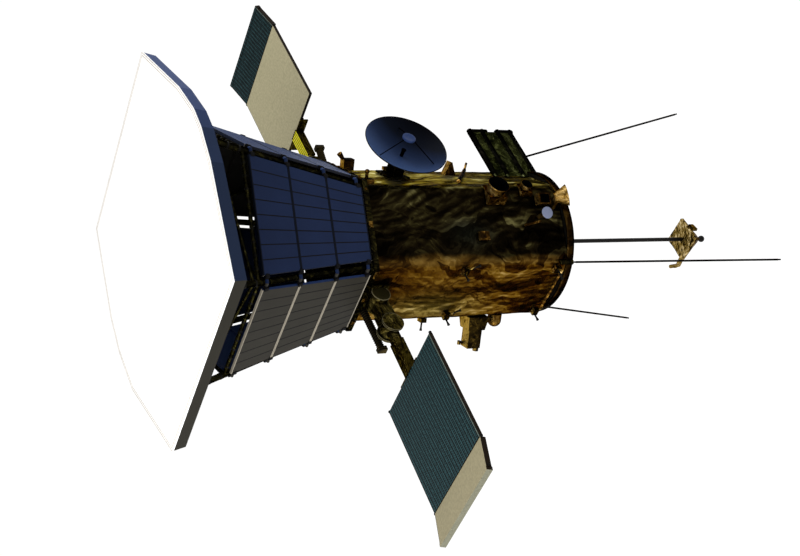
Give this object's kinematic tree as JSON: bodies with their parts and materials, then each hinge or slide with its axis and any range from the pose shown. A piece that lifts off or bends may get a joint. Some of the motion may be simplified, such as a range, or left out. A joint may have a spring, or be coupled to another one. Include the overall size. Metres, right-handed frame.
{
  "type": "solar probe spacecraft",
  "caption": "Sun-facing space probe with a flat heat shield, flared radiators, foil-wrapped body, folding solar wings, tilting dish, rod antennas and a folding tail boom.",
  "frame": {"origin": "centre of the launch adapter ring on its lower face", "axes": "+Z along the body towards the heat shield; the two wings lie along +X and -X; the dish looks along +Y"},
  "size_m": [4.5987, 2.2789, 4.692],
  "materials": {
    "shield_side": "dark blue-black coated carbon side, satin",
    "shield_white": "white ceramic coat, matt",
    "truss_wrap": "titanium tubes in olive foil blanket",
    "radiator_face": "coated radiator strips, satin",
    "gold_blanket": "crinkled gold polyimide foil blanket",
    "black_blanket": "dark blanket, low sheen",
    "dark_ring": "dark anodised",
    "solar_cell": "dark teal solar cells under cover glass",
    "panel_sheet": "beige woven panel sheet",
    "dish_paint": "navy coated dish, satin",
    "sensor_white": "white thermal paint",
    "rod_metal": "dark rod"
  },
  "bodies": {
    "root": {"heat_shield_core": "shield_side", "heat_shield_coat": "shield_white", "truss_legs": "truss_wrap", "truss_rings": "truss_wrap", "truss_diagonals": "truss_wrap", "radiator_000": "radiator_face", "radiator_060": "radiator_face", "radiator_120": "radiator_face", "radiator_180": "radiator_face", "radiator_240": "radiator_face", "radiator_300": "radiator_face", "bus_body": "gold_blanket", "adapter_ring": "dark_ring", "top_deck": "black_blanket", "coolant_manifold": "black_blanket", "shoulder_px": "gold_blanket", "shoulder_nx": "gold_blanket", "coolant_line_px": "gold_blanket", "coolant_line_nx": "gold_blanket", "dish_bracket": "black_blanket", "star_tracker_upper": "gold_blanket", "star_tracker_lower": "gold_blanket", "ribbed_unit": "black_blanket", "sensor_box": "black_blanket", "horn_antenna": "gold_blanket", "disc_sensor": "sensor_white", "hanging_instrument": "gold_blanket", "domed_instrument": "gold_blanket", "thrusters": "gold_blanket", "side_brackets": "gold_blanket", "rod_canisters": "black_blanket", "rod_antennas": "rod_metal", "boom_root": "dark_ring"},
    "flap_px": {"flap_link_px": "gold_blanket"},
    "wing_px": {"wing_arm_px": "gold_blanket", "wing_main_px": "solar_cell", "wing_tip_px": "panel_sheet"},
    "flap_nx": {"flap_link_nx": "gold_blanket"},
    "wing_nx": {"wing_arm_nx": "gold_blanket", "wing_main_nx": "panel_sheet", "wing_tip_nx": "solar_cell"},
    "dish": {"dish_reflector": "dish_paint", "dish_hub": "black_blanket", "dish_feed": "dish_paint"},
    "boom": {"boom_tube": "black_blanket", "boom_head": "gold_blanket"}
  },
  "joints": [
    {"name": "wing_fold_px", "type": "hinge", "parent": "root", "child": "flap_px", "pos_m": [0.8, 0, 1.56], "axis": [0, 1, 0], "range_deg": [0, 85]},
    {"name": "wing_feather_px", "type": "hinge", "parent": "flap_px", "child": "wing_px", "pos_m": [0.905, 0, 1.56], "axis": [1, 0, 0], "range_deg": [-25, 25]},
    {"name": "wing_fold_nx", "type": "hinge", "parent": "root", "child": "flap_nx", "pos_m": [-0.8, 0, 1.56], "axis": [0, -1, 0], "range_deg": [0, 85]},
    {"name": "wing_feather_nx", "type": "hinge", "parent": "flap_nx", "child": "wing_nx", "pos_m": [-0.90495, 0, 1.5633], "axis": [0.9995, 0, -0.0314], "range_deg": [-25, 25]},
    {"name": "dish_tilt", "type": "hinge", "parent": "root", "child": "dish", "pos_m": [-0.294, 0.544, 1.254], "axis": [1, 0, 0], "range_deg": [-35, 35]},
    {"name": "boom_fold", "type": "hinge", "parent": "root", "child": "boom", "pos_m": [0, 0, -0.046], "axis": [-0.5, 0.866, 0], "range_deg": [0, 90]}
  ]
}
